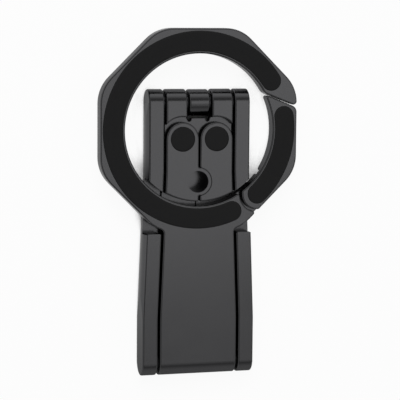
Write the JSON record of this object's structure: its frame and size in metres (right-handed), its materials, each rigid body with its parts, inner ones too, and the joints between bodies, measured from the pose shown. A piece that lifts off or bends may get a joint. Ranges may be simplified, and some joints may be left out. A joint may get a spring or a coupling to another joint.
{
  "type": "magnetic phone stand",
  "caption": "Folding magnetic phone stand: padded octagonal clip ring with a spring gate, hinged on side rails that hold a two-leg folding base.",
  "frame": {"origin": "middle of the folded stand's footprint, on the surface that it lies on", "axes": "+Z out of the front face with the pads, +Y along the stand towards the ring, +X to the gate's side"},
  "size_m": [0.0574, 0.0992, 0.0079],
  "materials": {
    "dark_metal": "satin dark anodised",
    "soft_pad": "matte silicone",
    "steel": "blackened steel",
    "magnet": "nickel plated"
  },
  "bodies": {
    "frame": {"left_rail": "dark_metal", "right_rail": "dark_metal", "base_hinge_pin": "steel", "fold_hinge_pin": "steel", "hinge_sleeve": "dark_metal", "base_hinge_washers": "steel", "fold_hinge_washers": "steel"},
    "ring": {"ring_plate": "dark_metal", "ring_pad": "soft_pad", "ring_magnets": "magnet", "gate_pin": "steel", "gate_spring": "steel"},
    "gate": {"gate": "dark_metal", "gate_pad": "soft_pad", "gate_magnets": "magnet"},
    "base": {"leg_carrier": "dark_metal", "left_leg": "dark_metal", "right_leg": "dark_metal", "left_leg_pivot": "steel", "right_leg_pivot": "steel", "left_leg_cap": "soft_pad", "right_leg_cap": "soft_pad"}
  },
  "joints": [
    {"name": "ring_fold", "type": "hinge", "parent": "frame", "child": "ring", "pos_m": [0, -0.04575, 0.00385], "axis": [1, 0, 0], "range_deg": [0, 180]},
    {"name": "base_fold", "type": "hinge", "parent": "base", "child": "frame", "pos_m": [0, 0.02856, 0.00385], "axis": [-1, 0, 0], "range_deg": [0, 150]},
    {"name": "gate_swing", "type": "hinge", "parent": "ring", "child": "gate", "pos_m": [0.01712, 0.00254, 0.0057], "axis": [0, 0, 1], "range_deg": [0, 10], "stiffness_Nm_per_rad": 0.03, "springref_deg": -45.84, "deforming": ["gate_spring"]}
  ]
}
